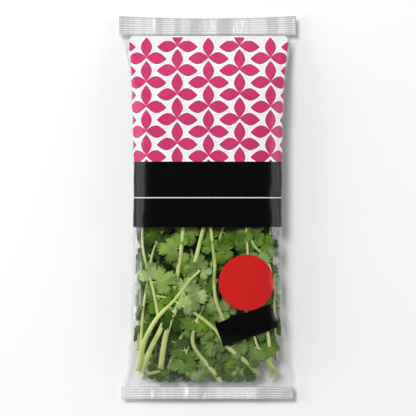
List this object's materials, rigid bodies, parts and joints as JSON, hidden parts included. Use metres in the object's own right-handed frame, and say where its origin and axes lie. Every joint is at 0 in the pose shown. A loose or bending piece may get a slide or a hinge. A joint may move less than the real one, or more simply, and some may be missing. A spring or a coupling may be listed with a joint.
{
  "type": "bagged coriander bunch",
  "caption": "Bunch of fresh coriander lying in a clear film pillow bag, printed on its upper half, with crimped end seals and a lapped back seam.",
  "frame": {"origin": "on the resting surface, under the middle of the bag's length and width", "axes": "+Z out of the bag's printed front, away from what it rests on; +Y along the bag towards its printed top end; +X to the right of someone looking at the front with its top end up"},
  "size_m": [0.1603, 0.3466, 0.041],
  "materials": {
    "clear_film": "thin glossy clear plastic film, printed over its upper half",
    "coriander": "fresh green plant, satin leaves and pale juicy stems"
  },
  "bodies": {
    "root": {"film_bag": "clear_film", "forked_sprig": "coriander", "left_long_sprig": "coriander", "thick_sprig": "coriander", "middle_sprig": "coriander", "crossing_sprig": "coriander", "low_left_sprig": "coriander", "front_centre_sprig": "coriander", "right_upright_sprig": "coriander", "right_slanting_sprig": "coriander", "window_top_sprig": "coriander", "low_thin_sprig": "coriander", "low_right_sprig": "coriander", "hanging_sprig": "coriander", "right_top_sprig": "coriander", "left_edge_sprig": "coriander", "far_left_sprig": "coriander", "far_right_sprig": "coriander", "back_sprig_01": "coriander", "back_sprig_02": "coriander", "back_sprig_03": "coriander", "back_sprig_04": "coriander", "back_sprig_05": "coriander", "back_sprig_06": "coriander", "back_sprig_07": "coriander", "back_sprig_08": "coriander", "back_sprig_09": "coriander", "back_sprig_10": "coriander"}
  },
  "joints": []
}
